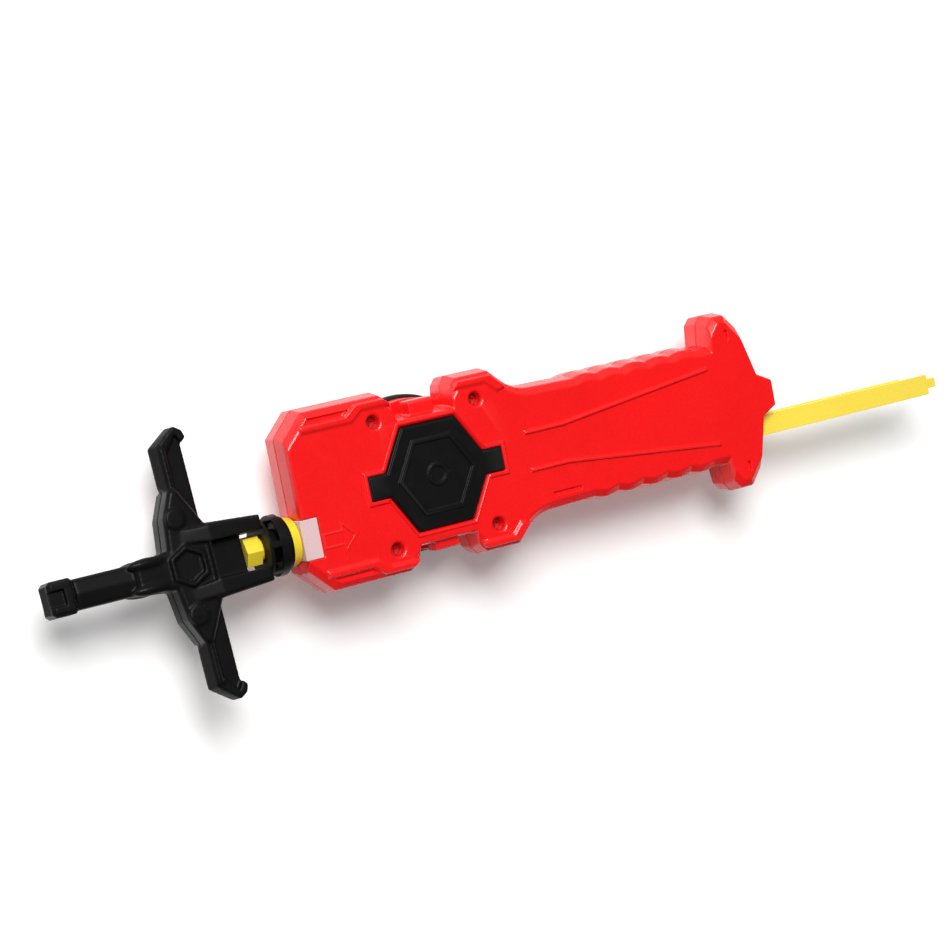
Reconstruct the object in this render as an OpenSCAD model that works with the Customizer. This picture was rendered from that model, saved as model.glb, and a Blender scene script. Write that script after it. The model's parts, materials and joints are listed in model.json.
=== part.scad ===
// Hand-held spinning top launcher with a toothed pull strip and a cross-shaped pull handle.
// The spindle axis is Z, the launch face of the rotor is at Z = 0, the grip runs along +X.

/* [Body] */
// Distance from the spindle to the flat end of the head
head_end = 52.4; // [50:0.1:60]
// Half width of the head and of its shoulders
head_half = 31.3; // [30:0.1:36]
// Length along X of the corner cut of the head
corner_x = 8; // [5:0.1:10]
// Length along Y of the corner cut of the head
corner_y = 8.2; // [6:0.1:12]
// Distance from the spindle to the end of the shoulders
shoulder_end = 27.2; // [25:0.1:32]
// Half width of the grip
grip_half = 22.6; // [21.5:0.1:25]
// Radius of the blend from shoulder to grip
blend_r = 14; // [10:0.5:17]
// Distance from the spindle to the flared end of the grip
flare_x = 114.6; // [113:0.1:130]
// Length of the flared end
flare_len = 18; // [15:0.5:22]
// Half width of the flared end
flare_half = 32.2; // [30:0.1:36]
// Length of the tail block behind the flare
tail_len = 5.8; // [4:0.2:9]
// Half width of the tail block at its root
tail_half = 8.2; // [7:0.2:11]
// Depth of each half shell
shell_depth = 9; // [8.6:0.1:11]
// Wall of the shells
wall = 2.1; // [1.6:0.1:2.4]
// Draft of the long walls of the front shell
draft = 1.1; // [0.4:0.1:1.3]
// Draft of the long walls of the rear shell
rear_draft = 0.5; // [0.2:0.1:0.9]
// Draft of the walls that face along the body
end_draft = 0.4; // [0.2:0.1:0.8]
// Width of the bevel along the long edges of the front face
bevel_w = 2.5; // [1:0.1:2.7]
// Height of the bevel along the long edges of the front face
bevel_h = 1.9; // [1:0.1:2.4]
// Bevel round the back and across the ends of the front face
end_bevel = 0.5; // [0.2:0.1:0.8]

/* [Rims] */
// Distance from the long edge of the head to the raised rims of the face
rim_edge = 2.5; // [2.2:0.1:3]
// Width of a rim at its foot
rim_w = 2.7; // [2:0.1:3]
// Width of the slope from a rim down to the face
rim_slope = 1; // [0.5:0.1:1.4]
// Height of a rim
rim_h = 0.7; // [0.3:0.1:1]
// Step of the rim away from the edge, towards the end of the head
rim_jog = 3.3; // [2.8:0.1:3.6]

/* [Grip] */
// Number of finger scallops on each edge
scallops = 5; // [3:1:5]
// Length of one scallop
scallop_len = 10; // [8:0.2:10]
// Distance from the spindle to the first scallop
scallop_x = 58.5; // [56:0.5:62]
// Height of a scallop
scallop_h = 0.9; // [0.4:0.1:1.4]
// Half gap between the two ridges near the head
ridge_near = 6; // [5:0.2:8]
// Half gap between the two ridges near the flare
ridge_far = 13; // [10:0.2:15]
// Width of a ridge
ridge_w = 1.2; // [0.8:0.1:2]
// Height of a ridge
ridge_h = 0.6; // [0.3:0.1:1]
// Length of the slot in the grip
slot_len = 11; // [8:0.5:14]
// Width of the slots
slot_w = 1.2; // [0.8:0.1:2]
// Depth of the slots
slot_depth = 1.2; // [0.6:0.1:1.5]

/* [Side notches] */
// Half width of a notch at its floor
notch_half = 10.2; // [9:0.1:11]
// Distance from the spindle to the floor of the upper notch
notch_floor = 21.5; // [20.8:0.1:22.5]
// Distance from the spindle to the floor of the lower notch
notch_low = 23.2; // [20.8:0.1:23.6]
// Half width of the tab in a notch
tab_half = 4.6; // [4:0.1:5.5]
// Height of the tab above the floor of the notch
tab_h = 4.5; // [3.5:0.1:6]
// Width of the bevel at the notches
notch_bevel = 0.7; // [0.3:0.1:1]

/* [Cap] */
// Half distance between opposite flats of the hexagonal cap
cap_flat = 17.9; // [16.5:0.1:18.3]
// Reach of the side arms of the cap from the spindle
cap_arm = 25.4; // [24:0.1:28]
// Half width of the side arms
cap_arm_half = 4.2; // [3:0.1:5]
// Thickness of the cap
cap_t = 2.2; // [1.6:0.1:3]
// Depth of the seat of the cap
cap_seat = 1.5; // [1:0.1:1.8]
// Width of the raised rim round the cap
cap_rim = 1.5; // [1:0.1:1.8]
// Height of the raised rim round the cap
cap_rim_h = 0.5; // [0.3:0.1:0.8]
// Width of the slope from the rim down to the cap
cap_slope = 1; // [0.6:0.1:1.2]

/* [Gear and strip] */
// Module of the gear and the strip
gear_m = 1; // [0.9:0.05:1.1]
// Teeth of the drive gear
gear_teeth = 19; // [18:1:20]
// Thickness of the drive gear
gear_t = 3; // [2.4:0.1:3.2]
// Backlash at the pitch line
backlash = 0.3; // [0.2:0.05:0.5]
// Height of the strip
strip_h = 7.4; // [7:0.1:9]
// Width of the strip
strip_w = 7; // [6.6:0.1:7.6]
// Width of each rail of the strip
rail_w = 1.6; // [1.2:0.1:1.7]
// Height of the rails above the tooth tips
rail_over = 0.8; // [0.4:0.1:1.2]
// Distance from the spindle to the end of the front rail
strip_reach = 208.5; // [190:0.5:230]
// Length of the tongue at the tip
tongue_len = 5; // [3:0.5:8]

/* [Rotor] */
// Radius of the rotor
rotor_r = 27.6; // [26:0.1:29]
// Thickness of the rotor
rotor_t = 4; // [3:0.1:5]
// Radius of the rotor hub
hub_r = 5; // [4.5:0.1:5.4]
// Depth of the claws below the launch face
claw_h = 9; // [6:0.5:12]
// Outer radius of the claws
claw_r = 14.5; // [13:0.1:18]
// Wall of the claws
claw_wall = 3; // [2.4:0.1:3.5]
// Radius of the centring socket
socket_r = 2.6; // [2:0.1:3.2]
// Depth of the centring socket
socket_depth = 6; // [4:0.5:6.5]
// Radius of the steel shaft
shaft_r = 2; // [1.5:0.1:2.2]
// Radius of the round housing on the back
housing_r = 26.2; // [25:0.1:28]
// Height of the round housing on the back
housing_h = 4.9; // [4.2:0.1:7]

/* [Handle] */
// Distance from the spindle to the end of the handle
handle_end = 139.5; // [136:0.5:150]
// Length of the pommel cap
pommel_len = 9; // [9:0.5:14]
// Half width of the pommel cap
pommel_half = 5.9; // [5.4:0.1:7]
// Half width of the handle shaft
stem_half = 5.1; // [4:0.1:5.2]
// Distance from the spindle to the middle of the cross arms
cross_x = 87.8; // [87:0.1:90]
// Width of a cross arm
arm_w = 9; // [8:0.2:11]
// Reach of a cross arm from the strip's axis
arm_reach = 45.8; // [44:0.1:52]
// Half depth of the raised rail of a cross arm
arm_deep = 5.5; // [4.5:0.1:6.5]
// Half depth of the web of a cross arm
arm_web = 2.6; // [2:0.1:3.2]
// Width of the raised rail of a cross arm
arm_rail = 2.8; // [2.4:0.1:3.6]
// Half depth of the hub of the handle
hub_deep = 7; // [6.6:0.1:8]
// Half width of the neck at the ring
neck_half = 11.2; // [10.4:0.1:12]
// Half width of the neck at the cross arms
neck_root = 12.6; // [12:0.1:14]
// Half depth of the neck
neck_deep = 8.6; // [8:0.1:9.6]
// Bevel along the edges of the handle
hilt_bevel = 1; // [0.5:0.1:1.4]
// Turn of the handle on the strip at rest
handle_turn = -8; // [-20:1:20]

/* [Ring and collar] */
// Distance from the spindle to the neck end of the ring
ring_x = 64.8; // [63.5:0.1:66]
// Length of the ring
ring_len = 8.8; // [8.2:0.1:10]
// Outer radius of the ring
ring_r = 10.4; // [9.8:0.1:10.8]
// Outer radius of the ring's last step towards the body
ring_end_r = 9.3; // [8.8:0.1:9.6]
// Windows in the ring
ring_windows = 6; // [5:1:8]
// Radius of the post of the strip
post_r = 4; // [3.5:0.1:4.4]
// Radius of the head of the post
post_head_r = 5.5; // [5:0.1:5.8]
// Radius of the collar of the strip
collar_r = 8.9; // [8:0.1:9.2]

/* [Screws] */
// Distance along X from the spindle to the head screws
screw_x = 19.4; // [18.5:0.1:21]
// Distance along Y from the spindle to the head screws
screw_y = 21.8; // [21.4:0.1:23]
// Radius of the screw wells
well_r = 2.2; // [2:0.05:2.5]
// Radius of the screw shanks
shank_r = 1.15; // [1:0.05:1.3]
// Height of the screw heads
screw_head_h = 1.6; // [1.2:0.1:2]

/* [Clearances] */
// Gap round a running shaft
run_gap = 0.05; // [0.03:0.01:0.08]
// Gap round the sliding strip
slide_gap = 0.35; // [0.3:0.05:0.5]
// Gap between fixed pieces
seat_gap = 0.1; // [0.05:0.01:0.15]
// Gap between the rotor and the housing
rotor_gap = 0.6; // [0.4:0.1:1]

/* [Hidden] */
$fn = 64;
// Reach of a cut that runs right through, of one that runs past a face, and overlap of fused solids
big = 400;
over = 1;
eps = 0.01;

// Heights, from the launch face up
housing_z = rotor_t + rotor_gap;
back_z = housing_z + housing_h;
mid_z = back_z + shell_depth;
face_z = mid_z + shell_depth;
floor_z = back_z + wall;
roof_z = face_z - wall;

// Outline of the head: runs and rises of the notch edges
mouth_x = -head_end;
notch_lean = [2, 1];
notch_cut_x = [2.6, 2.3];
notch_cut_y = [2.2, 2.8];
notch_head_x = -notch_half - notch_lean[0];
notch_grip_x = notch_half + notch_lean[1];

// Rims of the face and the groove that the jog of the head's rim leaves beside its edge
rim_y = head_half - rim_edge;
rim_in = 6.4;
rim_jog_x = 23;
rim_jog_run = 4.3;
rim_lag = 2.2;
rim_stop = 2;
rim_corner = [0.8, 3.2];
rim_tail = 5.1;
groove_y = head_half - draft - bevel_w;
groove_in = 8.1;
groove_ledge = 0.3;

// Outline of the flare: its lean, its cut corners and the taper of the tail
flare_lean = 0.9;
flare_cut = [2.4, 2.8];
flare_flat = 5.8;
flare_back = [3.7, 4.6];
tail_taper = 3.2;
slit_in = 7.5;
slit_x = flare_x + slit_in;
slit_edge = 8.3;
slit_y = flare_half - slit_edge;
slit_len = 3.4;

// Ridges and slot of the grip
ridge_at = 10;
ridge_x = cap_arm + ridge_at;
ridge_straight = 15;
ridge_stop = 3;
slot_at = 22.5;
slot_x = cap_arm + slot_at;
slot_y = -16.5;

// Tab in a notch
tab_drop = 2.4;
tab_chamfer = 1;

// Strip and gear
pressure = 20;
addendum = 0.95 * gear_m;
dedendum = 1.25 * gear_m;
pitch_r = gear_m * gear_teeth / 2;
tip_r = pitch_r + addendum;
root_r = pitch_r - dedendum;
base_r = pitch_r * cos(pressure);
pitch = PI * gear_m;
tooth_w = (pitch - backlash) / 2;
flank_steps = 5;
hub_drop = 0.8;
rack_tip = pitch_r - addendum;
rack_root = pitch_r + dedendum;
strip_top = rack_tip - rail_over;
strip_bottom = strip_top + strip_h;
strip_y = -(strip_top + strip_bottom) / 2;
channel_w = strip_w - 2 * rail_w;
rack_in = 10;
rack_x = mouth_x + rack_in;
rack_lead = 4;
first_tooth = ceil((rack_x + rack_lead) / pitch);
last_tooth = floor(strip_reach / pitch) - 1;
rear_rail_cut = 8.5;
tongue_side = 0.5;
tongue_edge = 2;

// Passage of the strip
path_half = strip_h / 2 + slide_gap;
path_z = mid_z - strip_w / 2 - slide_gap;
trough_wall = 1.95;
trough_half = path_half + trough_wall;
rib_t = 1.6;

// Guides of the strip
guide_len = 6.4;
guide_wall = 2.8;
guide_half = path_half + guide_wall;
guide_lip = 1.5;
guide_drop = 0.3;
guide_lip_x = mouth_x + wall + draft + seat_gap;
guide_end = mouth_x + guide_len;
tail_guide_x = flare_x;
tail_guide_len = 7;

// Cap
cap_floor = face_z - cap_seat;
cap_plate = 1.8;
cap_pad_z = cap_floor - cap_plate;
cap_edge = 0.5;
cap_hex_in = 5;
cap_hex = cap_flat - cap_hex_in;
cap_hex_w = 1.6;
cap_disc_r = 4;
cap_dish_r = 2.6;
peg_in = 4;
peg_x = cap_arm - peg_in;
peg_r = 1.4;
peg_more = 1;
peg_len = cap_plate + peg_more;

// Spindle stack, from the rotor hub up
hub_top = mid_z - gear_t / 2 - hub_drop;
gear_top = mid_z + gear_t / 2;
groove_deep = 0.4;
clip_z = gear_top + run_gap;
clip_t = 0.7;
clip_w = 1.6;
clip_r = shaft_r + clip_w;
clip_grip = 0.6;
clip_open = shaft_r - clip_grip;
washer_z = clip_z + clip_t + run_gap;
washer_t = 0.5;
washer_w = 3;
washer_r = shaft_r + washer_w;
bush_wall = 1.5;
front_bush_z = washer_z + washer_t + seat_gap;
front_bush_r = shaft_r + bush_wall;
socket_floor = 2;
shaft_foot = socket_depth + socket_floor;

// Bush round the rotor hub
bush_drop = 0.6;
bush_flange = 1.2;
rear_bush_z = housing_z + bush_drop;
bush_under = 0.5;
rear_bush_top = path_z - bush_under;
rear_bush_wall = 2;
rear_bush_r = hub_r + run_gap + rear_bush_wall;
flange_r = rear_bush_r + bush_wall;
column_r = flange_r + seat_gap + wall;

// Rotor
rotor_chamfer = 1.2;
rotor_edge = 0.6;
dish_rim = 3.4;
dish_r = rotor_r - dish_rim;
dish_deep = 1.2;
claw_foot = 2.4;
claw_span = 22;
hook_span = 40;
hook_h = 3;

// Screws
pilot_r = shank_r + run_gap;
screw_head_r = well_r - seat_gap;
boss_wall = 1.6;
boss_r = well_r + boss_wall;
well_chamfer = 0.7;
screw_sink = 3;
screw_bite = 6;
screw_tip = 1;
cross_w = 0.5;
cross_deep = 0.7;
grip_screw_y = 9;
grip_screw_near = 53;
grip_screw_far = 13;
grip_screw_x = [flare_x - grip_screw_near, flare_x - grip_screw_far];

// Handle, in its own frame on the strip's axis
stem_x = -handle_end + pommel_len;
neck_x = -ring_x;
cross_in = -cross_x + arm_w / 2;
cross_out = -cross_x - arm_w / 2;
stem_more = 0.4;
stem_deep = stem_half + stem_more;
stem_ridge = 0.7;
hub_run = 18;
hub_half = 6.5;
wing_x = [5.6, 4.3, 0.5];
wing_y = [hub_half, 17, 25.5];
wing_top = 3;
arm_root = 11;
arm_tip = 5.9;
hook_out = 1.7;
rail_tip = 2.6;
hub_out = 4.4;
hub_x = -cross_x - hub_out;
boss_hex_r = 7;
boss_hex_w = 1.6;
boss_hex_h = 1.4;
disc_out = 5.2;
disc_x = -cross_x - disc_out;
disc_y = 16;
disc_r = 3.3;
disc_h = 0.6;
head_len = 5.4;
head_gap = 0.8;
window_x = neck_x - head_len - 2 * head_gap;
window_half = post_head_r + head_gap;
recess_z = 4;
hilt_bite = 4;
hilt_sink = 3;

// Ring and collar
spigot_r = 1.4;
spigot_len = 4;
spigot_y = (window_half + neck_half) / 2;
ring_hub = 1.6;
ring_flange = 1.2;
ring_tube = 1.5;
ring_window = 8.4;
ring_window_len = 3;
ring_step = 1.7;
end_gap = 0.2;
collar_x = neck_x + ring_len + end_gap;
collar_taper = 1;

// Pommel
pommel_tongue = 5;
tongue_x = stem_x - pommel_tongue;
tongue_half = 3;
pommel_deep = 1.8;
pommel_bevel = 1.2;
pommel_slot = 5.4;
pommel_dish = 5.4;

// Points on an arc
function arc(c, r, from, to, n) =
    [for (i = [0:n]) let (a = from + (to - from) * i / n) c + r * [cos(a), sin(a)]];

// Step inward of one edge of the outline: on a notch floor, across the body or on the tail, or along it
steep = 0.8;
function edge_step(p, q, along, across, at_notch) =
    max(abs(p.x), abs(q.x)) < notch_half + eps ? at_notch
    : min(p.x, q.x) > flare_x + flare_len - eps ? across
    : abs(q.y - p.y) > steep * norm(q - p) ? across : along;

// Closed outline with each edge moved inward by its own step, corners mitred
function inset(p, along, across, at_notch) =
    [for (i = [0:len(p) - 1])
        let (n = len(p),
             from = p[(i + n - 1) % n],
             to = p[(i + 1) % n],
             u = p[i] - from,
             v = to - p[i],
             a = [-u.y, u.x] / norm(u),
             b = [-v.y, v.x] / norm(v),
             da = edge_step(from, p[i], along, across, at_notch),
             db = edge_step(p[i], to, along, across, at_notch),
             c = a * b)
        p[i] + (da == db ? da * (a + b) / (1 + c)
                         : ((da - db * c) * a + (db - da * c) * b) / (1 - c * c))];

// Edge of one finger scallop
scallop_y = grip_half - scallop_h / 2;
function scallop(k) =
    [for (t = [0:0.2:0.9])
        [scallop_x + scallop_len * (k + t), scallop_y + scallop_h * sin(180 * t)]];

// Edge of the body from the head to the tail, with its notch cut down to a floor
function body_edge(floor_y) =
    let (r = min(blend_r, 3 * (head_half - grip_half)),
         blend_y = grip_half + r * (1 - cos(45)),
         blend_x = shoulder_end + head_half - blend_y,
         blend_c = [blend_x + r * sin(45), grip_half + r],
         flat_x = flare_x + flare_lean + flare_cut.x,
         slope_x = flat_x + flare_flat,
         end_x = flare_x + flare_len)
    concat(
        [[mouth_x, head_half - corner_y],
         [mouth_x + corner_x, head_half],
         [notch_head_x - notch_cut_x[0], head_half],
         [notch_head_x, head_half - notch_cut_y[0]],
         [-notch_half, floor_y],
         [notch_half, floor_y],
         [notch_grip_x, head_half - notch_cut_y[1]],
         [notch_grip_x + notch_cut_x[1], head_half],
         [shoulder_end, head_half]],
        arc(blend_c, r, 225, 270, 6),
        [for (k = [0:scallops - 1]) each scallop(k)],
        [[scallop_x + scallops * scallop_len, scallop_y],
         [flare_x, scallop_y],
         [flare_x + flare_lean, flare_half - flare_cut.y],
         [flat_x, flare_half],
         [slope_x, flare_half],
         [slope_x + flare_back.x, flare_half - flare_back.y],
         [end_x, tail_half],
         [end_x + tail_len, tail_half - tail_taper]]);

// Whole outline, anticlockwise: the lower edge out, the upper edge back
function outline() =
    let (low = body_edge(notch_low), up = body_edge(notch_floor), n = len(up))
    concat([for (p = low) [p.x, -p.y]], [for (i = [0:n - 1]) up[n - 1 - i]]);

// Solid through stacked outlines, each closed across from lower to upper edge
module loft(rings, heights) {
    n = len(rings[0]);
    last = len(rings) - 1;
    top = last * n;
    points = [for (k = [0:last]) for (p = rings[k]) [p.x, p.y, heights[k]]];
    sides = [for (k = [0:last - 1]) for (i = [0:n - 1])
        let (j = (i + 1) % n, a = k * n, b = a + n)
        each [[b + i, b + j, a + j], [b + i, a + j, a + i]]];
    bottom = [for (i = [0:n / 2 - 2]) [i, i + 1, n - 2 - i, n - 1 - i]];
    lid = [for (q = bottom) [q[3] + top, q[2] + top, q[1] + top, q[0] + top]];
    polyhedron(points, concat(sides, bottom, lid));
}

// Drafted and bevelled outer form of a half shell, growing up from the parting plane
module shell_form(side_draft, side_bevel, h) {
    edge = outline();
    notch_draft = side_draft / 2;
    loft([edge,
          inset(edge, side_draft, end_draft, notch_draft),
          inset(edge, side_draft + side_bevel, end_draft + end_bevel, notch_draft + notch_bevel)],
         [0, shell_depth - h, shell_depth]);
}

// Room inside a half shell
module shell_room() {
    translate([0, 0, -eps]) linear_extrude(shell_depth - wall + eps)
        polygon(inset(outline(), wall + draft, wall + draft, wall + draft));
}

// Tab that stands out of a notch floor
module notch_tab(floor_y) {
    foot = floor_y - draft - notch_bevel - over;
    tip = notch_floor + tab_h;
    top = shell_depth - tab_drop;
    translate([-tab_half, 0, mid_z]) rotate([90, 0, 90]) linear_extrude(2 * tab_half)
        polygon([[foot, 0], [tip, 0], [tip, top - tab_chamfer], [tip - tab_chamfer, top], [foot, top]]);
}

// Free passage of the strip
module strip_path() {
    translate([-big / 2, strip_y - path_half, path_z])
        cube([big, 2 * path_half, 2 * (mid_z - path_z)]);
}

// Ribs, backing wall and trough that carry the strip and its guides, between two heights
module strip_seat(z0, z1) {
    h = z1 - z0;
    rib_half = guide_half + guide_lip;
    rib_x = guide_end + seat_gap;
    trough_end = tail_guide_x - seat_gap;
    tail_rib_x = tail_guide_x + tail_guide_len + seat_gap;
    translate([rib_x, strip_y - rib_half, z0]) cube([rib_t, 2 * rib_half, h]);
    translate([rib_x, strip_y - trough_half, z0])
        cube([shoulder_end - rib_x + over, trough_half - path_half + slide_gap, h]);
    translate([shoulder_end, strip_y - trough_half, z0])
        cube([trough_end - shoulder_end, 2 * trough_half, h]);
    translate([tail_rib_x, strip_y - trough_half, z0]) cube([rib_t, 2 * trough_half, h]);
}

// Pocket of the entry guide, open at the end wall and at the front, with room for its lip
module entry_pocket() {
    half = guide_half + seat_gap;
    lip_half = half + guide_lip;
    translate([mouth_x - over, strip_y - half, floor_z - seat_gap])
        cube([guide_len + over + seat_gap, 2 * half, big]);
    translate([guide_lip_x - seat_gap, strip_y - lip_half, floor_z])
        cube([guide_end - guide_lip_x + 2 * seat_gap, 2 * lip_half, roof_z - floor_z]);
}

module at_head_screws() {
    for (x = [-screw_x, screw_x]) for (y = [-screw_y, screw_y]) translate([x, y, 0]) children();
}

module at_grip_screws() {
    for (x = grip_screw_x) translate([x, grip_screw_y, 0]) children();
}

module screw_boss(z0, z1) {
    translate([0, 0, z0]) cylinder(r = boss_r, h = z1 - z0);
}

// Plan of the cap, grown by g
module cap_plan(g) {
    circle(r = (cap_flat + g) / cos(30), $fn = 6);
    translate([-cap_arm - g, -cap_arm_half - g]) square([2 * (cap_arm + g), 2 * (cap_arm_half + g)]);
}

module at_cap_pegs() {
    for (x = [-peg_x, peg_x]) translate([x, 0, 0]) children();
}

// Groove between a long edge of the head and its rim
module head_groove() {
    y0 = rim_y - rim_jog + groove_ledge;
    w = groove_y - y0;
    end_x = -rim_jog_x - rim_lag - rim_jog_run - groove_ledge;
    polygon([[mouth_x + groove_in + w, groove_y], [mouth_x + groove_in, y0], [end_x, y0],
             [end_x + w * rim_jog_run / rim_jog, groove_y]]);
}

// Raised rim on the lower half of the face between two edges, with a slope down from its inner edge
module rim(outer, inner) {
    n = len(inner);
    foot = [for (i = [0:n - 1]) let (p = inner[n - 1 - i]) [p.x, -p.y]];
    out = [for (p = outer) [p.x, -p.y]];
    crest = [for (p = foot) p - [0, rim_slope]];
    loft([concat(out, foot), concat(out, foot), concat(out, crest)], [roof_z + eps, face_z, face_z + rim_h]);
}

// Rim along the head, which jogs round the screw well
module head_rim() {
    start = mouth_x + rim_in;
    y0 = rim_y - rim_jog;
    jog_x = -rim_jog_x - rim_lag;
    rim([[start, y0], [jog_x - rim_jog_run, y0], [jog_x, rim_y], [notch_head_x - rim_stop, rim_y]],
        [[start, y0 - rim_w], [jog_x - rim_jog_run + rim_lag, y0 - rim_w], [jog_x + rim_lag, rim_y - rim_w],
         [notch_head_x, rim_y - rim_w]]);
}

// Rim round a shoulder, down to where the grip begins
module shoulder_rim() {
    turn = shoulder_end - rim_corner[0];
    foot = shoulder_end - rim_corner[1];
    rim([[notch_grip_x + rim_stop, rim_y], [turn, rim_y], [turn + rim_tail, rim_y - rim_tail]],
        [[notch_grip_x + rim_slope, rim_y - rim_w], [foot, rim_y - rim_w],
         [foot + rim_tail - rim_w / 2, rim_y - rim_w / 2 - rim_tail]]);
}

// Ridge on the grip, one side
module grip_ridge() {
    x1 = ridge_x + ridge_straight;
    x2 = flare_x - ridge_stop;
    polygon([[ridge_x, ridge_near], [x1, ridge_near], [x2, ridge_far],
             [x2, ridge_far + ridge_w], [x1, ridge_near + ridge_w], [ridge_x, ridge_near + ridge_w]]);
}

// Slot with round ends along X
module round_slot(len, w) {
    square([len - w, w], center = true);
    for (x = [-1, 1]) translate([x * (len - w) / 2, 0]) circle(d = w, $fn = 24);
}

// Cuts of the front face
module face_cuts() {
    for (s = [0, 1]) mirror([0, s, 0]) {
        head_groove();
        translate([slit_x, slit_y]) rotate(90) round_slot(slit_len, slot_w);
    }
    translate([slot_x, slot_y]) round_slot(slot_len, slot_w);
}

module front_shell() color("red") difference() {
    union() {
        translate([0, 0, mid_z]) difference() {
            shell_form(draft, bevel_w, bevel_h);
            shell_room();
        }
        translate([0, 0, cap_pad_z]) linear_extrude(face_z + cap_rim_h - cap_pad_z) cap_plan(cap_rim);
        translate([0, 0, front_bush_z])
            cylinder(r = front_bush_r + wall, h = cap_pad_z - front_bush_z + eps);
        at_head_screws() screw_boss(mid_z, roof_z + eps);
        at_grip_screws() screw_boss(mid_z, roof_z + eps);
        strip_seat(mid_z, roof_z + eps);
        notch_tab(notch_floor);
        mirror([0, 1, 0]) notch_tab(notch_low);
        for (s = [0, 1]) mirror([0, s, 0]) {
            translate([0, 0, face_z - eps]) linear_extrude(ridge_h) grip_ridge();
            head_rim();
            shoulder_rim();
        }
    }
    strip_path();
    entry_pocket();
    translate([0, 0, cap_floor]) linear_extrude(big) cap_plan(seat_gap);
    translate([0, 0, face_z + cap_rim_h - cap_slope])
        cylinder(r1 = (cap_flat + seat_gap) / cos(30), r2 = (cap_flat + seat_gap + cap_slope) / cos(30),
                 h = cap_slope + eps, $fn = 6);
    at_cap_pegs() translate([0, 0, cap_pad_z - over]) cylinder(r = peg_r + seat_gap, h = big);
    translate([0, 0, mid_z - over]) cylinder(r = front_bush_r + run_gap, h = cap_pad_z - mid_z + over);
    at_head_screws() {
        translate([0, 0, mid_z + screw_sink]) cylinder(r = well_r, h = big);
        translate([0, 0, mid_z - over]) cylinder(r = pilot_r, h = big);
        translate([0, 0, face_z - well_chamfer])
            cylinder(r1 = well_r, r2 = well_r + 2 * well_chamfer, h = 2 * well_chamfer);
    }
    at_grip_screws() translate([0, 0, mid_z - over]) cylinder(r = pilot_r, h = screw_bite + over);
    translate([0, 0, face_z - slot_depth]) linear_extrude(big) face_cuts();
}

module rear_shell() color("red") difference() {
    union() {
        translate([0, 0, mid_z]) mirror([0, 0, 1]) difference() {
            shell_form(rear_draft, end_bevel, end_bevel);
            shell_room();
        }
        translate([0, 0, housing_z]) cylinder(r = housing_r, h = floor_z - housing_z);
        translate([0, 0, housing_z]) cylinder(r = column_r, h = rear_bush_top - housing_z);
        at_head_screws() screw_boss(floor_z - eps, mid_z);
        at_grip_screws() screw_boss(floor_z - eps, mid_z);
        strip_seat(floor_z - eps, mid_z);
    }
    strip_path();
    entry_pocket();
    translate([0, 0, housing_z - over]) difference() {
        cylinder(r = housing_r - wall, h = housing_h + over);
        cylinder(r = column_r, h = big);
    }
    translate([0, 0, housing_z - over]) {
        cylinder(r = rear_bush_r + seat_gap, h = big);
        cylinder(r = flange_r + seat_gap, h = over + bush_drop + bush_flange + seat_gap);
    }
    at_head_screws() translate([0, 0, mid_z - screw_bite]) cylinder(r = pilot_r, h = big);
    at_grip_screws() {
        translate([0, 0, back_z - over]) cylinder(r = well_r, h = shell_depth - screw_sink + over);
        translate([0, 0, back_z]) cylinder(r = pilot_r, h = big);
    }
}

module hex_cap() color("#1b1b1d") translate([0, 0, cap_floor]) difference() {
    union() {
        linear_extrude(cap_t - cap_edge) cap_plan(0);
        linear_extrude(cap_t) cap_plan(-cap_edge);
        linear_extrude(cap_t + cap_edge) difference() {
            circle(r = cap_hex / cos(30), $fn = 6);
            circle(r = (cap_hex - cap_hex_w) / cos(30), $fn = 6);
        }
        cylinder(r = cap_disc_r, h = cap_t + cap_edge);
        at_cap_pegs() translate([0, 0, -peg_len]) cylinder(r = peg_r, h = peg_len + eps);
    }
    translate([0, 0, cap_t]) cylinder(r = cap_dish_r, h = big);
}

module entry_guide() color("#eadfe0") difference() {
    union() {
        translate([mouth_x, strip_y - guide_half, floor_z])
            cube([guide_len, 2 * guide_half, face_z - guide_drop - floor_z]);
        translate([guide_lip_x, strip_y - guide_half - guide_lip, floor_z + seat_gap])
            cube([guide_end - guide_lip_x, 2 * (guide_half + guide_lip), roof_z - floor_z - 2 * seat_gap]);
    }
    strip_path();
}

module tail_guide() color("#e8e8e6") difference() {
    translate([tail_guide_x, strip_y - trough_half, floor_z + seat_gap])
        cube([tail_guide_len, 2 * trough_half, roof_z - floor_z - 2 * seat_gap]);
    strip_path();
}

// Outline of one gear tooth, with involute flanks from root to tip
function roll_angle(r) = sqrt(max(0, pow(r / base_r, 2) - 1)) * 180 / PI;
function roll_turn(r) = roll_angle(r) - atan(roll_angle(r) * PI / 180);
tooth_half = tooth_w / 2 / pitch_r * 180 / PI;
tooth_foot = tooth_half + roll_turn(pitch_r);
flank_foot = max(base_r, root_r);
function flank(side) =
    [for (i = [0:flank_steps])
        let (r = flank_foot + (tip_r - flank_foot) * i / flank_steps,
             a = tooth_foot - roll_turn(r))
        r * [cos(side * a), sin(side * a)]];
function tooth() =
    let (up = flank(1))
    concat([root_r * [cos(tooth_foot), -sin(tooth_foot)]], flank(-1),
           [for (i = [0:flank_steps]) up[flank_steps - i]],
           [root_r * [cos(tooth_foot), sin(tooth_foot)]]);
function turned(p, a) = [for (q = p) [q.x * cos(a) - q.y * sin(a), q.x * sin(a) + q.y * cos(a)]];

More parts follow.
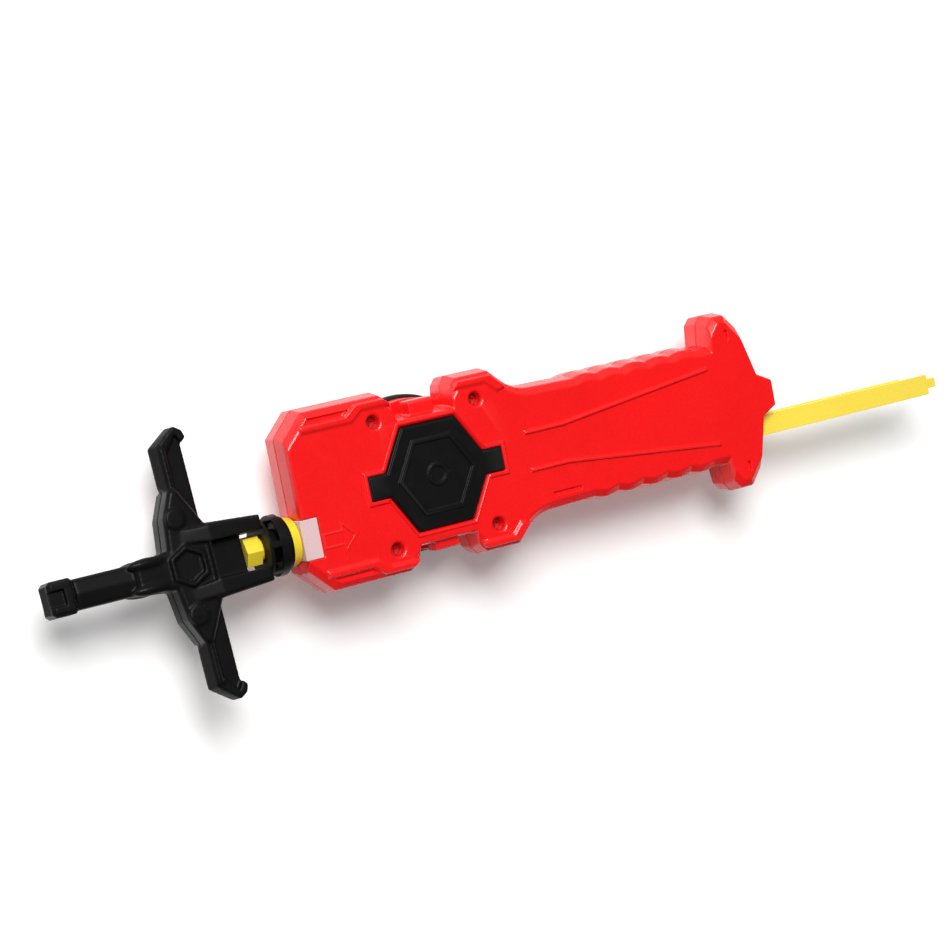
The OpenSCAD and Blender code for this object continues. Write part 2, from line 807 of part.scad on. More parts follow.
module drive_gear() color("#e6e2d8") {
    step = 360 / gear_teeth;
    difference() {
        union() {
            translate([0, 0, mid_z - gear_t / 2]) linear_extrude(gear_t)
                polygon([for (k = [0:gear_teeth - 1]) each turned(tooth(), step * (k + 0.5) - 90)]);
            translate([0, 0, hub_top]) cylinder(r = hub_r, h = gear_top - hub_top);
        }
        translate([0, 0, hub_top - over]) cylinder(r = shaft_r + run_gap / 2, h = big);
    }
}

module spindle_shaft() color("silver") difference() {
    translate([0, 0, shaft_foot]) cylinder(r = shaft_r, h = cap_pad_z - seat_gap - shaft_foot);
    translate([0, 0, clip_z - run_gap / 2]) difference() {
        cylinder(r = shaft_r + over, h = clip_t + run_gap);
        translate([0, 0, -over]) cylinder(r = shaft_r - groove_deep, h = big);
    }
}

// Plain bush or washer
module sleeve(r, bore, z0, z1) {
    translate([0, 0, z0]) difference() {
        cylinder(r = r, h = z1 - z0);
        translate([0, 0, -over]) cylinder(r = bore, h = big);
    }
}

module front_bush() color("#c9a24a")
    sleeve(front_bush_r, shaft_r + run_gap, front_bush_z, cap_pad_z - seat_gap);

module rear_bush() color("#c9a24a") {
    sleeve(rear_bush_r, hub_r + run_gap, rear_bush_z, rear_bush_top);
    sleeve(flange_r, hub_r + run_gap, rear_bush_z, rear_bush_z + bush_flange);
}

module thrust_washer() color("silver")
    sleeve(washer_r, shaft_r + run_gap, washer_z, washer_z + washer_t);

module retaining_clip() color("#55585c") difference() {
    sleeve(clip_r, shaft_r - groove_deep + run_gap, clip_z, clip_z + clip_t);
    translate([0, -clip_open, clip_z - over]) cube([big, 2 * clip_open, big]);
}

// Sector of a ring between two angles
module ring_sector(r0, r1, a0, a1, h) {
    intersection() {
        difference() {
            cylinder(r = r1, h = h);
            translate([0, 0, -over]) cylinder(r = r0, h = big);
        }
        linear_extrude(h) polygon(concat([[0, 0]], arc([0, 0], 2 * r1, a0, a1, 2)));
    }
}

module launch_rotor() color("#202124") difference() {
    union() {
        rotate_extrude() polygon([[0, 0], [rotor_r - rotor_chamfer, 0], [rotor_r, rotor_chamfer],
                                  [rotor_r, rotor_t - rotor_edge], [rotor_r - rotor_edge, rotor_t],
                                  [0, rotor_t]]);
        cylinder(r = hub_r, h = hub_top);
        for (k = [0, 1]) rotate(180 * k) translate([0, 0, -claw_h]) {
            ring_sector(claw_r - claw_wall, claw_r, -claw_span, claw_span, claw_h + eps);
            ring_sector(claw_r - claw_wall, claw_r, -hook_span, eps - claw_span, hook_h);
        }
    }
    translate([0, 0, -over]) cylinder(r = socket_r, h = socket_depth + over);
    translate([0, 0, shaft_foot - seat_gap]) cylinder(r = shaft_r + run_gap / 2, h = big);
    translate([0, 0, -over]) difference() {
        cylinder(r = dish_r, h = dish_deep + over);
        translate([0, 0, -over]) cylinder(r = claw_r + claw_foot, h = big);
    }
}

// Pan-head screw pointing down, seat of its head at Z = 0
module screw(length) {
    difference() {
        union() {
            cylinder(r = screw_head_r, h = screw_head_h);
            translate([0, 0, -length]) cylinder(r = shank_r, h = length + eps);
        }
        for (a = [0, 90]) rotate(a)
            translate([-screw_head_r + cross_w, -cross_w / 2, screw_head_h - cross_deep])
                cube([2 * (screw_head_r - cross_w), cross_w, big]);
    }
}

module head_screws() color("#9a9ca0")
    at_head_screws() translate([0, 0, mid_z + screw_sink]) screw(screw_sink + screw_bite - screw_tip);

module grip_screws() color("#9a9ca0")
    at_grip_screws() translate([0, 0, mid_z - screw_sink]) mirror([0, 0, 1])
        screw(screw_sink + screw_bite - screw_tip);

// Rack with its back, from one end to the other, tips towards the spindle
function rack_points() =
    let (half_tip = tooth_w / 2 - addendum * tan(pressure),
         half_root = tooth_w / 2 + dedendum * tan(pressure))
    concat([[rack_x - eps, -rack_root], [rack_x - eps, -strip_bottom],
            [strip_reach, -strip_bottom], [strip_reach, -rack_root]],
           [for (k = [last_tooth:-1:first_tooth])
               let (x = k * pitch)
               each [[x + half_root, -rack_root], [x + half_tip, -rack_tip],
                     [x - half_tip, -rack_tip], [x - half_root, -rack_root]]]);

module rip_strip() color("#f7d21e") {
    len = strip_reach - rack_x;
    root_x = collar_x + end_gap;
    rear_z = mid_z - strip_w / 2;
    translate([0, 0, mid_z - channel_w / 2 - eps]) linear_extrude(channel_w + 2 * eps)
        polygon(rack_points());
    translate([rack_x, -strip_bottom, rear_z]) cube([len - rear_rail_cut, strip_h, rail_w]);
    translate([rack_x, -strip_bottom, rear_z + strip_w - rail_w]) cube([len, strip_h, rail_w]);
    translate([strip_reach - over, tongue_edge - strip_bottom, mid_z - channel_w / 2 + tongue_side])
        cube([tongue_len + over, strip_h - 2 * tongue_edge, channel_w - 2 * tongue_side]);
    translate([root_x, -strip_bottom, rear_z]) cube([rack_x - root_x + eps, strip_h, strip_w]);
    translate([0, strip_y, mid_z]) rotate([0, 90, 0]) {
        translate([0, 0, neck_x - over]) cylinder(r = post_r, h = collar_x - neck_x + 2 * over);
        translate([0, 0, collar_x])
            cylinder(r1 = collar_r, r2 = collar_r - collar_taper, h = mouth_x - end_gap - collar_x);
        translate([0, 0, neck_x - head_gap - head_len]) cylinder(r = post_head_r, h = head_len, $fn = 6);
    }
}

// Place of the handle on the strip
module on_strip() {
    translate([0, strip_y, mid_z]) rotate([handle_turn, 0, 0]) children();
}

module at_spigots() {
    for (s = [-1, 1]) translate([neck_x, s * spigot_y, 0]) rotate([0, -90, 0]) children();
}

module neck_ring() color("#1d1d1f") on_strip() {
    body_len = ring_len - ring_step;
    gap_len = body_len - 2 * ring_flange;
    rotate([0, 90, 0]) translate([0, 0, neck_x]) difference() {
        union() {
            cylinder(r = ring_r, h = body_len);
            cylinder(r = ring_end_r, h = ring_len);
        }
        translate([0, 0, -over]) cylinder(r = post_r + run_gap, h = big);
        translate([0, 0, ring_flange]) difference() {
            cylinder(r = ring_r - ring_tube, h = gap_len);
            translate([0, 0, -over]) cylinder(r = post_r + run_gap + ring_hub, h = big);
        }
        for (k = [0:ring_windows - 1]) rotate(360 / ring_windows * (k + 0.5))
            translate([post_r + ring_hub + over, -ring_window / 2, ring_flange])
                cube([big, ring_window, ring_window_len]);
    }
    at_spigots() translate([0, 0, -eps]) cylinder(r = spigot_r, h = spigot_len, $fn = 32);
}

// Prism on the parting plane of the handle with a bevel round its top
module bevelled(h) {
    hull() {
        linear_extrude(h - hilt_bevel) children();
        linear_extrude(h) offset(delta = -hilt_bevel) children();
    }
}

// Convex plan that is the same on both sides of the handle's axis
module both_sides(up) {
    n = len(up);
    polygon(concat([for (p = up) [p.x, -p.y]], [for (i = [0:n - 1]) up[n - 1 - i]]));
}

// Plan of one cross arm with its hooked tip
module arm_plan() {
    tip_y = arm_reach - arm_tip;
    polygon([[cross_out, arm_root], [cross_in, arm_root], [cross_in, tip_y],
             [cross_in + hook_out, tip_y + hook_out], [cross_in + hook_out / 2, arm_reach - hook_out],
             [cross_in - hook_out, arm_reach], [cross_out, tip_y]]);
}

// Sunken web of one cross arm
module arm_sink() {
    rail_x = cross_out + arm_rail;
    tip_y = arm_reach - arm_tip;
    polygon([[rail_x, arm_root], [cross_in + over, arm_root], [cross_in + over, tip_y], [cross_in, tip_y],
             [cross_in - hook_out, arm_reach - rail_tip], [rail_x, tip_y - rail_tip]]);
}

// One cross arm: a web with a raised rail that wraps the tip
module cross_arm() {
    rail_end = arm_reach - arm_tip;
    linear_extrude(arm_web) arm_plan();
    linear_extrude(arm_deep - hilt_bevel) difference() {
        arm_plan();
        arm_sink();
    }
    bevelled(arm_deep) translate([cross_out, arm_root]) square([arm_rail, rail_end - arm_root]);
    translate([disc_x, disc_y, 0]) cylinder(r = disc_r, h = hub_deep + disc_h);
}

// Shaft of the handle with a low ridge along its middle
module stem() {
    side = stem_half - hilt_bevel;
    low = stem_deep - stem_ridge;
    translate([stem_x, 0, 0]) rotate([90, 0, 90]) linear_extrude(cross_out - stem_x)
        polygon([[-stem_half, 0], [stem_half, 0], [stem_half, low - hilt_bevel], [side, low],
                 [0, stem_deep], [-side, low], [-stem_half, low - hilt_bevel]]);
}

// Solid part of one half of the handle, on the +Z side of its axis
module hilt_solid() {
    wing = [for (i = [0:2]) [cross_out - wing_x[i], wing_y[i]]];
    stem();
    bevelled(hub_deep) both_sides([[cross_out - hub_run, stem_half], wing[0], [cross_out, hub_half]]);
    bevelled(hub_deep) both_sides(concat(wing, [[wing[2].x + wing_top, wing_y[2]], [cross_in, neck_root]]));
    bevelled(neck_deep) both_sides([[cross_in - hilt_bevel, neck_root], [cross_in, neck_root],
                                    [neck_x, neck_half]]);
    for (s = [0, 1]) mirror([0, s, 0]) cross_arm();
    translate([hub_x, 0, 0]) rotate(30) cylinder(r = boss_hex_r, h = hub_deep + boss_hex_h, $fn = 6);
    translate([tongue_x, -tongue_half, 0])
        cube([stem_x - tongue_x + 2 * hilt_bevel, 2 * tongue_half, tongue_half]);
}

module hilt_half() {
    difference() {
        hilt_solid();
        translate([hub_x, 0, hub_deep]) rotate(30) cylinder(r = boss_hex_r - boss_hex_w, h = big, $fn = 6);
        translate([cross_in, -window_half, recess_z])
            cube([window_x - cross_in + over, 2 * window_half, big]);
        translate([window_x, -window_half, -over]) cube([neck_x - window_x + over, 2 * window_half, big]);
        at_spigots() translate([0, 0, -over])
            cylinder(r = spigot_r + seat_gap, h = spigot_len + seat_gap + over, $fn = 32);
    }
}

module at_hilt_screws() {
    for (s = [-1, 1]) translate([disc_x, s * disc_y, 0]) children();
}

module hilt_front() color("#1c1c1e") on_strip() difference() {
    hilt_half();
    at_hilt_screws() translate([0, 0, -over]) cylinder(r = pilot_r, h = hilt_bite + over);
}

module hilt_rear() color("#1c1c1e") on_strip() difference() {
    mirror([0, 0, 1]) hilt_half();
    at_hilt_screws() translate([0, 0, -big]) {
        cylinder(r = well_r, h = big - hilt_sink);
        cylinder(r = pilot_r, h = 2 * big);
    }
}

module hilt_screws() color("#9a9ca0") on_strip()
    at_hilt_screws() translate([0, 0, -hilt_sink]) mirror([0, 0, 1])
        screw(hilt_sink + hilt_bite - screw_tip);

// Block with bevelled edges between two corners
module bevel_block(from, to, b) {
    hull() for (d = [[0, b, b], [b, 0, b], [b, b, 0]]) translate(from + d) cube(to - from - 2 * d);
}

module pommel_cap() color("#1a1a1c") on_strip() {
    half = [0, pommel_half, pommel_half];
    pocket = tongue_half + seat_gap;
    difference() {
        bevel_block([-handle_end, 0, 0] - half, [stem_x, 0, 0] + half, pommel_bevel);
        for (s = [0, 1]) mirror([0, 0, s])
            translate([-handle_end - over, -pommel_slot / 2, pommel_half - pommel_deep])
                cube([pommel_dish + over, pommel_slot, big]);
        translate([tongue_x - seat_gap, -pocket, -pocket]) cube([big, 2 * pocket, 2 * pocket]);
    }
}

front_shell();
rear_shell();
hex_cap();
entry_guide();
tail_guide();
drive_gear();
spindle_shaft();
front_bush();
rear_bush();
thrust_washer();
retaining_clip();
launch_rotor();
head_screws();
grip_screws();
rip_strip();
neck_ring();
hilt_front();
hilt_rear();
hilt_screws();
pommel_cap();
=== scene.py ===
import json
from math import cos, pi, radians, sin

import bmesh
import bpy
from mathutils import Matrix, Vector


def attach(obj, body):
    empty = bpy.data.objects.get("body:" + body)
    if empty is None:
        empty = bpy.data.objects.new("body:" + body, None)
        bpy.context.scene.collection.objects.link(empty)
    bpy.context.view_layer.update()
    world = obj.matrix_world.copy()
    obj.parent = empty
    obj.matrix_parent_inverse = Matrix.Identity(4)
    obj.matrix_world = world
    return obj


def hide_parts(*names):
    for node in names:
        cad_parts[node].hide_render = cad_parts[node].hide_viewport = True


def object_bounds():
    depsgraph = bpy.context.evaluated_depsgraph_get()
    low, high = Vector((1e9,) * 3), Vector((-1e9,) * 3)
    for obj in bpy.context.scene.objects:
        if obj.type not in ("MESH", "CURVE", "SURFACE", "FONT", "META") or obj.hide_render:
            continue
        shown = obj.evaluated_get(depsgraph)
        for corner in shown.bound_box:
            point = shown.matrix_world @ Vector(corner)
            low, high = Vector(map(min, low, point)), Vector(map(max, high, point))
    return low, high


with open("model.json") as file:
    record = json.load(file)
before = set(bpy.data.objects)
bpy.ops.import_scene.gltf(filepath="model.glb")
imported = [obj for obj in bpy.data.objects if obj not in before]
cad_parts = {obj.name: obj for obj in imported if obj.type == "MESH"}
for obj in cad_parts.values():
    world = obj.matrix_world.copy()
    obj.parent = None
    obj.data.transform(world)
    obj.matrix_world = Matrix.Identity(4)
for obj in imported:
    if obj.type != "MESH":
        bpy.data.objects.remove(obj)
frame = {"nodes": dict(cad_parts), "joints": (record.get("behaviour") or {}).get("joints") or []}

CAD_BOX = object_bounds()
MM = 0.001

# Camera fitted to the photograph, which is IMAGE pixels wide
IMAGE = 950
FOCAL = 2600
SENSOR = 36
NEAR = 0.01
CAMERA_AT = (-0.3685, 0.0826, 0.8205)
CAMERA_RIGHT = (0.8759, -0.1911, 0.4430)
CAMERA_UP = (0.2144, 0.9767, -0.0027)
CAMERA_BACK = (-0.4322, 0.0973, 0.8965)

# Studio: a room that is light towards WALL_SIDE and dim elsewhere, a key light, and a floor whose
# own light rises from FLOOR_LIFT to white over the distances FLOOR_FAR
WALL_SIDE = Vector((-0.40, 0.90, 0.10)).normalized()
WALL_LIGHT = ((0.0, 0.11), (0.5, 0.38), (1.0, 0.75))
KEY_AT = Vector((-0.48, 1.05, 1.95))
KEY_SIZE = 1.0
KEY_POWER = 55.0
FLOOR_SIZE = 40.0
FLOOR_TONE = (0.92, 0.915, 0.91, 1)
FLOOR_LIFT = 0.16
FLOOR_FAR = (0.4, 1.3)

# Surface detail: each noise by its waves to a metre and its detail, then tones as shares of a colour,
# spans of a value, and strengths of relief
WHITE = (1, 1, 1)
CLOUDS = (22, 3)
SPECKS = (1400, 2)
GLOSS = (130, 5)
SINKS = (45, 1)
GRAIN = (3200, 2)
STREAKS = (900, 4)
CLOUD_TONES = (0.94, 1.03)
SPECK_TONES = (0.93, 1)
STREAK_TONES = (0.82, 1.05)
NOISE_SPAN = (0.3, 0.7)
SPECK_SPAN = (0.35, 0.60)
# EDGE_SPAN: pointiness over which proud corners grow lighter, partly wear from rubbing and partly a
# painted highlight
EDGE_SPAN = (0.52, 0.60)
SINK_RELIEF = 0.25
GRAIN_RELIEF = 0.35
STREAK_RELIEF = 0.3
STREAK_DEPTH = 0.01 * MM

# Rounding of edges: least angle, distance of welded corners and steps; share of a smoothing pass
SHARP = 0.50
WELD = 0.002 * MM
ROUND_STEPS = 3
SMOOTHING = 0.5

# Arrow beside the strip's entry: its middle line in millimetres from the head of the arrow
FACE_Z = 27.5 * MM
MARK_AT = Vector((-33.4, -13.2)) * MM
MARK_LINE = ((0, 0), (-4.8, 4.9), (-4.8, 2.3), (-11.6, 2.3),
             (-11.6, -2.3), (-4.8, -2.3), (-4.8, -4.9))
MARK_WIDTH = 0.8 * MM
MARK_HEIGHT = 0.3 * MM

# Soft forms of the handle, in millimetres along X and then across and up from its swivel axis: a
# leaf-shaped swelling beside the stem, then corners of the ramp from hub to neck, of the sloped outer
# sides of an arm's rail and tip, and of the sloped end of the pommel
HANDLE_TURN = radians(-8)
LEAF_AT = (-105.8, 4.2, 6.0)
LEAF_SIZE = (6.8, 2.0, 2.2)
LEAF_STEPS = 16
NECK = ((-94.5, 7.6, 6.8), (-94.0, 11.8, 6.8), (-83.0, 12.2, 6.5), (-83.0, 6.2, 6.5),
        (-83.0, 6.2, 8.6), (-83.0, 11.6, 8.6))
RAIL = ((-94.0, 27.0, 0), (-94.0, 40.4, 0), (-92.0, 25.0, 0), (-92.0, 40.0, 0),
        (-92.2, 25.0, 4.5), (-92.2, 39.9, 4.5))
TIP = ((-94.0, 40.4, 0), (-92.0, 39.5, 0), (-86.5, 45.9, 0), (-84.8, 45.5, 0),
       (-92.2, 39.9, 4.5), (-85.2, 45.6, 4.5))
POMMEL_END = ((-140.7, 4.6, 0), (-140.7, -4.6, 0), (-139.3, 4.8, 4.0), (-139.3, -4.8, 4.0),
              (-139.3, 4.8, -4.0), (-139.3, -4.8, -4.0))


# Materials

def new_material(name):
    material = bpy.data.materials.new(name)
    material.use_nodes = True
    return material, material.node_tree, material.node_tree.nodes["Principled BSDF"]


def noise(tree, scale, detail, stretch=(1, 1, 1)):
    """Noise in the frame's own metres, with scale waves to a metre."""
    place = tree.nodes.new("ShaderNodeTexCoord")
    fit = tree.nodes.new("ShaderNodeMapping")
    fit.inputs["Scale"].default_value = stretch
    waves = tree.nodes.new("ShaderNodeTexNoise")
    waves.inputs["Scale"].default_value = scale
    waves.inputs["Detail"].default_value = detail
    tree.links.new(place.outputs["Object"], fit.inputs["Vector"])
    tree.links.new(fit.outputs["Vector"], waves.inputs["Vector"])
    return waves.outputs["Fac"]


def ramp(tree, value, stops):
    """Colours along a value: stops are pairs of position and colour."""
    node = tree.nodes.new("ShaderNodeValToRGB")
    first, last = node.color_ramp.elements
    first.position, first.color = stops[0]
    last.position, last.color = stops[-1]
    for position, colour in stops[1:-1]:
        node.color_ramp.elements.new(position).color = colour
    tree.links.new(value, node.inputs["Fac"])
    return node.outputs["Color"]


def spread(tree, value, low, high, span=NOISE_SPAN):
    """A value mapped from its span, that of a noise by default, onto low to high."""
    node = tree.nodes.new("ShaderNodeMapRange")
    node.inputs["From Min"].default_value = span[0]
    node.inputs["From Max"].default_value = span[1]
    node.inputs["To Min"].default_value = low
    node.inputs["To Max"].default_value = high
    tree.links.new(value, node.inputs["Value"])
    return node.outputs["Result"]


def mix(tree, share, a, b, kind="MIX"):
    node = tree.nodes.new("ShaderNodeMix")
    node.data_type = "RGBA"
    node.blend_type = kind
    for socket, value in (("Factor_Float", share), ("A_Color", a), ("B_Color", b)):
        target = next(i for i in node.inputs if i.identifier == socket)
        if hasattr(value, "links"):
            tree.links.new(value, target)
        else:
            target.default_value = value
    return next(o for o in node.outputs if o.identifier == "Result_Color")


def bump(tree, value, depth, strength, under=None):
    """Relief of a given depth, in metres, laid over another."""
    node = tree.nodes.new("ShaderNodeBump")
    node.inputs["Strength"].default_value = strength
    node.inputs["Distance"].default_value = depth
    tree.links.new(value, node.inputs["Height"])
    if under is not None:
        tree.links.new(under, node.inputs["Normal"])
    return node.outputs["Normal"]


def shade(colour, k):
    return tuple(min(1, c * k) for c in colour) + (1,)


def tones(tree, value, span, colour, shares):
    """From one share of a colour to another over a span of a value."""
    return ramp(tree, value, [(x, shade(colour, k)) for x, k in zip(span, shares)])


def rubbed_and_highlit_edges(tree):
    """Where an edge stands proud: corners lightened partly by wear from rubbing and partly as a painted
    highlight.
    """
    place = tree.nodes.new("ShaderNodeNewGeometry")
    return tones(tree, place.outputs["Pointiness"], EDGE_SPAN, WHITE, (0, 1))


def plastic(name, colour, rubbed_and_highlight, gloss, grain=0.03, wave=0.12, rubbed_and_highlight_share=0.25, specular=0.5):
    """Moulded plastic: cloudy tone, fine speckle, uneven gloss, grain, slow sink marks, and proud
    corners lightened partly by wear from rubbing and partly as a painted highlight.

    gloss is the span of the roughness; grain and wave are depths in millimetres.
    """
    material, tree, shader = new_material(name)
    cloud = tones(tree, noise(tree, *CLOUDS), NOISE_SPAN, colour, CLOUD_TONES)
    speck = tones(tree, noise(tree, *SPECKS), SPECK_SPAN, WHITE, SPECK_TONES)
    tone = mix(tree, 1.0, cloud, speck, "MULTIPLY")
    # Proud corners lightened towards a second colour: wear from rubbing and a painted highlight
    rubbed_and_highlight_mask = mix(tree, rubbed_and_highlight_share, shade(WHITE, 0), rubbed_and_highlit_edges(tree))
    tree.links.new(mix(tree, rubbed_and_highlight_mask, tone, shade(rubbed_and_highlight, 1)), shader.inputs["Base Color"])
    tree.links.new(spread(tree, noise(tree, *GLOSS), *gloss), shader.inputs["Roughness"])
    sink = bump(tree, noise(tree, *SINKS), wave * MM, SINK_RELIEF)
    relief = bump(tree, noise(tree, *GRAIN), grain * MM, GRAIN_RELIEF, sink)
    tree.links.new(relief, shader.inputs["Normal"])
    shader.inputs["Specular IOR Level"].default_value = specular
    return material


def metal(name, colour, gloss, stretch):
    """Machined metal: streaked tone and gloss along its turning marks."""
    material, tree, shader = new_material(name)
    streak = noise(tree, *STREAKS, stretch)
    tone = tones(tree, streak, NOISE_SPAN, colour, STREAK_TONES)
    tree.links.new(tone, shader.inputs["Base Color"])
    tree.links.new(spread(tree, streak, *gloss), shader.inputs["Roughness"])
    tree.links.new(bump(tree, streak, STREAK_DEPTH, STREAK_RELIEF), shader.inputs["Normal"])
    shader.inputs["Metallic"].default_value = 1.0
    return material


def make_materials():
    black = (0.004, 0.004, 0.0043)
    # The second colour of each plastic is that of its proud corners: wear from rubbing and a painted
    # highlight
    return {
        "red": plastic("red_moulding", (0.90, 0.007, 0.008), (0.95, 0.05, 0.045), (0.20, 0.28),
                       wave=0.06),
        "black": plastic("black_handle", (0.0052, 0.0052, 0.0056), (0.055, 0.055, 0.057), (0.29, 0.39),
                         grain=0.05, specular=0.085),
        "cap": plastic("black_cap", black, (0.03, 0.03, 0.032), (0.30, 0.40),
                       grain=0.06, specular=0.22),
        "rotor": plastic("black_rotor", black, (0.05, 0.05, 0.052), (0.34, 0.46)),
        "yellow": plastic("yellow_strip", (0.95, 0.71, 0.03), (0.98, 0.84, 0.22), (0.28, 0.40)),
        # Pale guide tinted pink: painted red light bounced from the body onto a pale moulding
        "pale": plastic("pale_guide", (0.70, 0.45, 0.46), (0.84, 0.66, 0.66), (0.36, 0.46)),
        "nylon": plastic("white_nylon", (0.80, 0.79, 0.75), (0.88, 0.87, 0.84), (0.40, 0.52)),
        "steel": metal("bright_steel", (0.60, 0.61, 0.63), (0.24, 0.42), (1, 1, 6)),
        "clip": metal("dark_spring_steel", (0.16, 0.165, 0.18), (0.30, 0.46), (4, 4, 1)),
        # Screw heads dark red: painted shade and painted reflection of the red walls at the bottom of
        # the wells
        "screws": plastic("screw_painted_well_shade", (0.48, 0.004, 0.005), (0.60, 0.02, 0.02), (0.34, 0.50)),
        "bronze": metal("sintered_bronze", (0.60, 0.40, 0.17), (0.40, 0.60), (1, 1, 1)),
    }


# CAD nodes: material and edge rounding in millimetres

FINISH = {
    "front_shell": ("red", 0.45),
    "rear_shell": ("red", 0.45),
    "hex_cap": ("cap", 0.30),
    "entry_guide": ("pale", 0.30),
    "tail_guide": ("nylon", 0.25),
    "drive_gear": ("nylon", 0.08),
    "spindle_shaft": ("steel", 0.15),
    "front_bush": ("bronze", 0.15),
    "rear_bush": ("bronze", 0.15),
    "thrust_washer": ("steel", 0.06),
    "retaining_clip": ("clip", 0.08),
    "launch_rotor": ("rotor", 0.30),
    "head_screws": ("screws", 0.08),
    "grip_screws": ("screws", 0.08),
    "rip_strip": ("yellow", 0.15),
    "neck_ring": ("black", 0.22),
    "hilt_screws": ("clip", 0.08),
}
# Handle nodes that softer mouldings stand for: material, voxel in millimetres, passes of smoothing
MOULDED = {
    "hilt_front": ("black", 0.30, 16),
    "hilt_rear": ("black", 0.30, 16),
    "pommel_cap": ("black", 0.20, 8),
}


def coat(obj, material):
    obj.data.materials.clear()
    obj.data.materials.append(material)


def round_edges(obj, width):
    """Joins the facets at their shared corners, then rounds what is sharp."""
    weld = obj.modifiers.new("weld", "WELD")
    weld.merge_threshold = WELD
    edge = obj.modifiers.new("edge", "BEVEL")
    edge.width = width
    edge.segments = ROUND_STEPS
    edge.limit_method = "ANGLE"
    edge.angle_limit = SHARP
    edge.use_clamp_overlap = False
    edge.loop_slide = False
    obj.modifiers.new("shading", "WEIGHTED_NORMAL").keep_sharp = True


def mould(obj, voxel, passes):
    """Melts the corners of a thick moulding together."""
    skin = obj.modifiers.new("skin", "REMESH")
    skin.mode = "VOXEL"
    skin.voxel_size = voxel
    skin.use_smooth_shade = True
    soft = obj.modifiers.new("soft", "SMOOTH")
    soft.factor = SMOOTHING
    soft.iterations = passes


def dress_nodes(materials):
    for name, (finish, width) in FINISH.items():
        coat(frame["nodes"][name], materials[finish])
        round_edges(frame["nodes"][name], width * MM)


# Added pieces

def mesh_object(name, mesh_edit):
    """New object from a bmesh that mesh_edit fills."""
    mesh = bpy.data.meshes.new(name)
    bm = bmesh.new()
    mesh_edit(bm)
    bmesh.ops.recalc_face_normals(bm, faces=bm.faces)
    bm.to_mesh(mesh)
    bm.free()
    obj = bpy.data.objects.new(name, mesh)
    bpy.context.collection.objects.link(obj)
    return obj


def handle_axes():
    """Takes millimetres along X, and across and up from the handle's swivel axis, to the frame."""
    swivel = next(j for j in frame["joints"] if j["name"] == "handle_swivel")
    _, y, z = swivel["pos_m"]
    return Matrix.Translation((0, y, z)) @ Matrix.Rotation(HANDLE_TURN, 4, "X") @ Matrix.Scale(MM, 4)


def leaf():
    """Points all over a leaf-shaped swelling."""
    around = [2 * pi * i / LEAF_STEPS for i in range(LEAF_STEPS)]
    points = [(cos(a), sin(a) * cos(b), sin(a) * sin(b)) for a in around for b in around]
    return [tuple(m + s * p for m, s, p in zip(LEAF_AT, LEAF_SIZE, point)) for point in points]


def flip(corners, across, up):
    return [(x, y * across, z * up) for x, y, z in corners]


def add_skin(name, forms, materials):
    """Stands for a moulded node of the handle, with more forms melted into it."""
    finish, voxel, passes = MOULDED[name]
    axes = handle_axes()

    def fill(bm):
        bm.from_mesh(frame["nodes"][name].data)
        for corners in forms:
            bmesh.ops.convex_hull(bm, input=[bm.verts.new(axes @ Vector(p)) for p in corners])

    skin = mesh_object(name + "_skin", fill)
    coat(skin, materials[finish])
    mould(skin, voxel * MM, passes)
    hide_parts(name)
    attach(skin, "handle")


def add_handle(materials):
    for name, up in (("hilt_front", 1), ("hilt_rear", -1)):
        forms = [flip(form, side, up) for form in (leaf(), NECK, RAIL, TIP) for side in (-1, 1)]
        add_skin(name, forms, materials)
    add_skin("pommel_cap", [POMMEL_END], materials)


def add_mark(material):
    """Raised outline of an arrow on the front face that points the way the strip goes in."""
    line = [MARK_AT + Vector(p) * MM for p in MARK_LINE]
    n = len(line)
    low = FACE_Z - MARK_HEIGHT
    high = FACE_Z + MARK_HEIGHT

    def side(i, out):
        """Corner of the outline's outer or inner edge."""
        here = line[i]
        a = (here - line[i - 1]).normalized().orthogonal()
        b = (line[(i + 1) % n] - here).normalized().orthogonal()
        return here + out * MARK_WIDTH / 2 * (a + b) / (1 + a.dot(b))

    def fill(bm):
        rings = [[bm.verts.new((*side(i, out), z)) for i in range(n)]
                 for out, z in ((1, low), (1, high), (-1, high), (-1, low))]
        for a, b in zip(rings, rings[1:] + rings[:1]):
            for i in range(n):
                j = (i + 1) % n
                bm.faces.new((a[i], a[j], b[j], b[i]))

    mark = mesh_object("entry_mark", fill)
    coat(mark, material)
    round_edges(mark, MARK_HEIGHT / 2)
    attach(mark, "launcher")


# Studio

def add_camera():
    data = bpy.data.cameras.new("camera")
    data.sensor_width = SENSOR
    data.lens = FOCAL / IMAGE * SENSOR
    data.clip_start = NEAR
    camera = bpy.data.objects.new("camera", data)
    turn = Matrix((CAMERA_RIGHT, CAMERA_UP, CAMERA_BACK)).transposed().to_4x4()
    camera.matrix_world = Matrix.Translation(CAMERA_AT) @ turn
    bpy.context.collection.objects.link(camera)
    bpy.context.scene.camera = camera


def add_key():
    data = bpy.data.lights.new("key", "AREA")
    data.size = KEY_SIZE
    data.energy = KEY_POWER
    key = bpy.data.objects.new("key", data)
    key.location = KEY_AT
    key.rotation_euler = KEY_AT.to_track_quat("Z", "Y").to_euler()
    bpy.context.collection.objects.link(key)


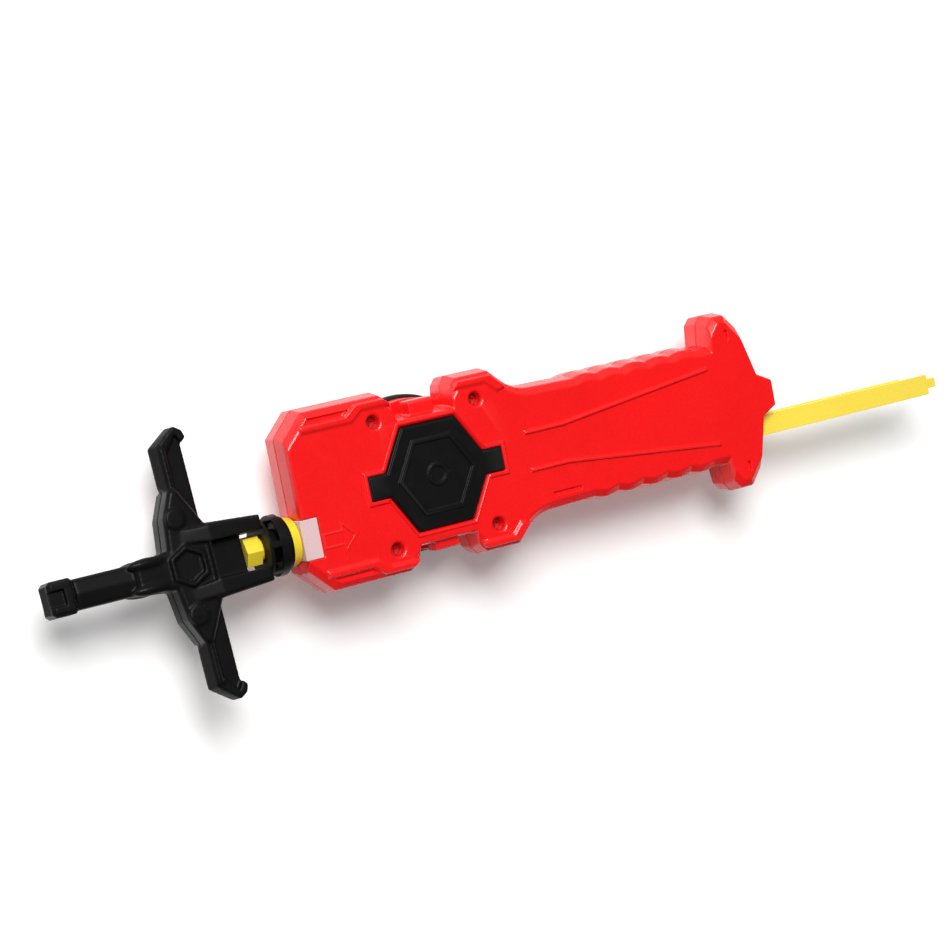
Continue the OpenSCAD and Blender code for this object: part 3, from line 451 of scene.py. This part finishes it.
def set_world():
    """Room with one light side."""
    world = bpy.data.worlds.new("studio")
    world.use_nodes = True
    tree = world.node_tree
    light = tree.nodes["Background"]
    place = tree.nodes.new("ShaderNodeTexCoord")
    facing = tree.nodes.new("ShaderNodeVectorMath")
    facing.operation = "DOT_PRODUCT"
    facing.inputs[1].default_value = WALL_SIDE
    tree.links.new(place.outputs["Generated"], facing.inputs[0])
    level = ramp(tree, facing.outputs["Value"], [(x, shade(WHITE, k)) for x, k in WALL_LIGHT])
    tree.links.new(level, light.inputs["Color"])
    light.inputs["Strength"].default_value = 1.0
    bpy.context.scene.world = world


def add_floor():
    """Pale floor that keeps the shadow and shows white where it is fully lit or far off."""
    z = CAD_BOX[0].z
    half = FLOOR_SIZE / 2
    corners = ((-half, -half), (half, -half), (half, half), (-half, half))

    def fill(bm):
        bm.faces.new([bm.verts.new((x, y, z)) for x, y in corners])

    floor = mesh_object("floor", fill)
    material, tree, shader = new_material("paper")
    tree.nodes.remove(shader)
    matt = tree.nodes.new("ShaderNodeBsdfDiffuse")
    matt.inputs["Color"].default_value = FLOOR_TONE
    lift = tree.nodes.new("ShaderNodeEmission")
    place = tree.nodes.new("ShaderNodeTexCoord")
    distance = tree.nodes.new("ShaderNodeVectorMath")
    distance.operation = "LENGTH"
    tree.links.new(place.outputs["Object"], distance.inputs[0])
    rise = spread(tree, distance.outputs["Value"], FLOOR_LIFT, 1.0, FLOOR_FAR)
    tree.links.new(rise, lift.inputs["Strength"])
    path = tree.nodes.new("ShaderNodeLightPath")
    seen = path.outputs["Is Camera Ray"]
    for ray in ("Is Glossy Ray", "Is Transmission Ray"):
        either = tree.nodes.new("ShaderNodeMath")
        either.operation = "MAXIMUM"
        tree.links.new(seen, either.inputs[0])
        tree.links.new(path.outputs[ray], either.inputs[1])
        seen = either.outputs["Value"]
    tree.links.new(seen, lift.inputs["Color"])
    both = tree.nodes.new("ShaderNodeAddShader")
    tree.links.new(matt.outputs["BSDF"], both.inputs[0])
    tree.links.new(lift.outputs["Emission"], both.inputs[1])
    tree.links.new(both.outputs["Shader"], tree.nodes["Material Output"].inputs["Surface"])
    floor.data.materials.append(material)


def make_scene():
    bpy.context.scene.view_settings.view_transform = "Standard"
    add_camera()
    add_key()
    set_world()
    add_floor()
    materials = make_materials()
    dress_nodes(materials)
    add_handle(materials)
    add_mark(materials["red"])


make_scene()
